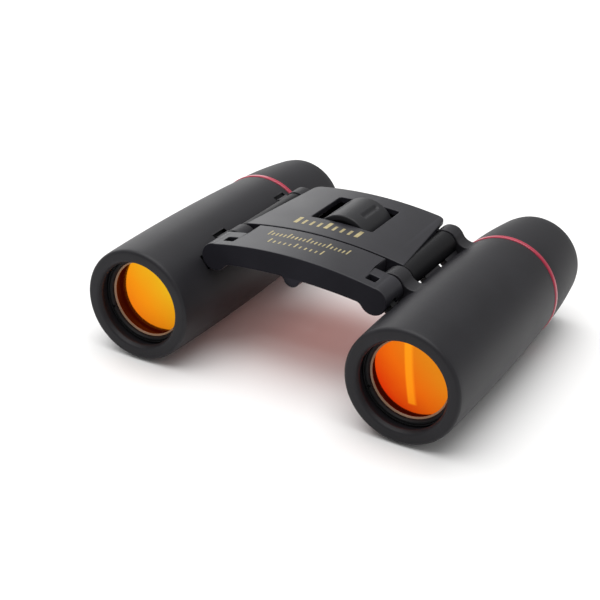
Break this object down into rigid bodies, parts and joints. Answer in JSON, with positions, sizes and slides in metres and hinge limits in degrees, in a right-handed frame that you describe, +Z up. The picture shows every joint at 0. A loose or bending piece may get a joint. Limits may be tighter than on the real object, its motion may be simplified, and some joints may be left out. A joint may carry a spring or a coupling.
{
  "type": "folding compact binoculars",
  "caption": "Compact folding roof-prism binoculars with two hinged barrels, a central focus wheel on an arched bridge and amber coated objectives.",
  "frame": {"origin": "on the table under the middle of the open instrument", "axes": "+X towards the user's left barrel, +Y towards the eyepieces, +Z up"},
  "size_m": [0.1152, 0.095, 0.0389],
  "materials": {
    "barrel_soft_touch": "matte soft-touch black over moulded plastic",
    "eyecup_rubber": "matte black rubber",
    "bridge_plastic": "satin dark grey moulded plastic",
    "wheel_rubber": "satin black, soft finger grooves",
    "red_trim": "glossy crimson ring",
    "inner_plastic": "flocked-matte black inner plastic",
    "black_anodised": "black anodised",
    "steel": "turned steel",
    "brass_nut": "turned brass",
    "amber_coated_glass": "amber mirror-coated lens",
    "clear_glass": "polished optical glass"
  },
  "bodies": {
    "bridge": {"bridge_frame": "bridge_plastic", "bridge_bottom_cover": "bridge_plastic", "left_front_cover_screw": "steel", "left_rear_cover_screw": "steel", "right_front_cover_screw": "steel", "right_rear_cover_screw": "steel", "left_hinge_pin": "steel", "right_hinge_pin": "steel"},
    "focus_wheel": {"focus_wheel": "wheel_rubber", "focus_screw": "steel", "focus_screw_clip": "steel"},
    "front_bridge": {"front_bridge": "bridge_plastic", "focus_nut": "brass_nut", "left_link_pin": "steel", "right_link_pin": "steel"},
    "left_barrel": {"left_barrel": "barrel_soft_touch", "left_trim_ring": "red_trim", "left_prism_cage": "inner_plastic", "left_half_penta_prism": "clear_glass", "left_roof_prism": "clear_glass", "left_eyepiece_tube": "inner_plastic", "left_eyecup": "eyecup_rubber", "left_ocular_cell": "black_anodised", "left_field_lens": "clear_glass", "left_eye_lens": "clear_glass", "left_ocular_ring": "inner_plastic"},
    "right_barrel": {"right_barrel": "barrel_soft_touch", "right_trim_ring": "red_trim", "right_prism_cage": "inner_plastic", "right_half_penta_prism": "clear_glass", "right_roof_prism": "clear_glass", "right_eyepiece_tube": "inner_plastic"},
    "left_objective": {"left_objective_cell": "inner_plastic", "left_objective_crown_lens": "amber_coated_glass", "left_objective_flint_lens": "clear_glass", "left_objective_ring": "inner_plastic"},
    "right_objective": {"right_objective_cell": "inner_plastic", "right_objective_crown_lens": "amber_coated_glass", "right_objective_flint_lens": "clear_glass", "right_objective_ring": "inner_plastic"},
    "right_dioptre_ring": {"right_eyecup": "eyecup_rubber"},
    "right_ocular": {"right_ocular_cell": "black_anodised", "right_field_lens": "clear_glass", "right_eye_lens": "clear_glass", "right_ocular_ring": "inner_plastic"}
  },
  "joints": [
    {"name": "left_fold", "type": "hinge", "parent": "bridge", "child": "left_barrel", "pos_m": [0.0245, 0, 0.0306], "axis": [0, 1, 0], "range_deg": [0, 67]},
    {"name": "right_fold", "type": "hinge", "parent": "bridge", "child": "right_barrel", "pos_m": [-0.0245, 0, 0.0306], "axis": [0, -1, 0], "range_deg": [0, 67]},
    {"name": "focus_turn", "type": "hinge", "parent": "bridge", "child": "focus_wheel", "pos_m": [0, 0, 0.0299], "axis": [0, 1, 0], "range_deg": [0, 300]},
    {"name": "front_bridge_slide", "type": "slide", "parent": "bridge", "child": "front_bridge", "axis": [0, -1, 0], "range_m": [0, 0.0025]},
    {"name": "left_objective_slide", "type": "slide", "parent": "left_barrel", "child": "left_objective", "axis": [0, -1, 0], "range_m": [0, 0.0025]},
    {"name": "right_objective_slide", "type": "slide", "parent": "right_barrel", "child": "right_objective", "axis": [0, -1, 0], "range_m": [0, 0.0025]},
    {"name": "dioptre_turn", "type": "hinge", "parent": "right_barrel", "child": "right_dioptre_ring", "pos_m": [-0.0407, 0.04, 0.0169], "axis": [0, 1, 0], "range_deg": [-60, 60]},
    {"name": "right_ocular_slide", "type": "slide", "parent": "right_barrel", "child": "right_ocular", "axis": [0, 1, 0], "range_m": [-0.001, 0.001]}
  ],
  "couplings": [
    {"joint": "front_bridge_slide", "follows": "focus_turn", "m_per_rad": 0.000477},
    {"joint": "left_objective_slide", "follows": "focus_turn", "m_per_rad": 0.000477},
    {"joint": "right_objective_slide", "follows": "focus_turn", "m_per_rad": 0.000477},
    {"joint": "right_ocular_slide", "follows": "dioptre_turn", "m_per_rad": 0.00095}
  ]
}
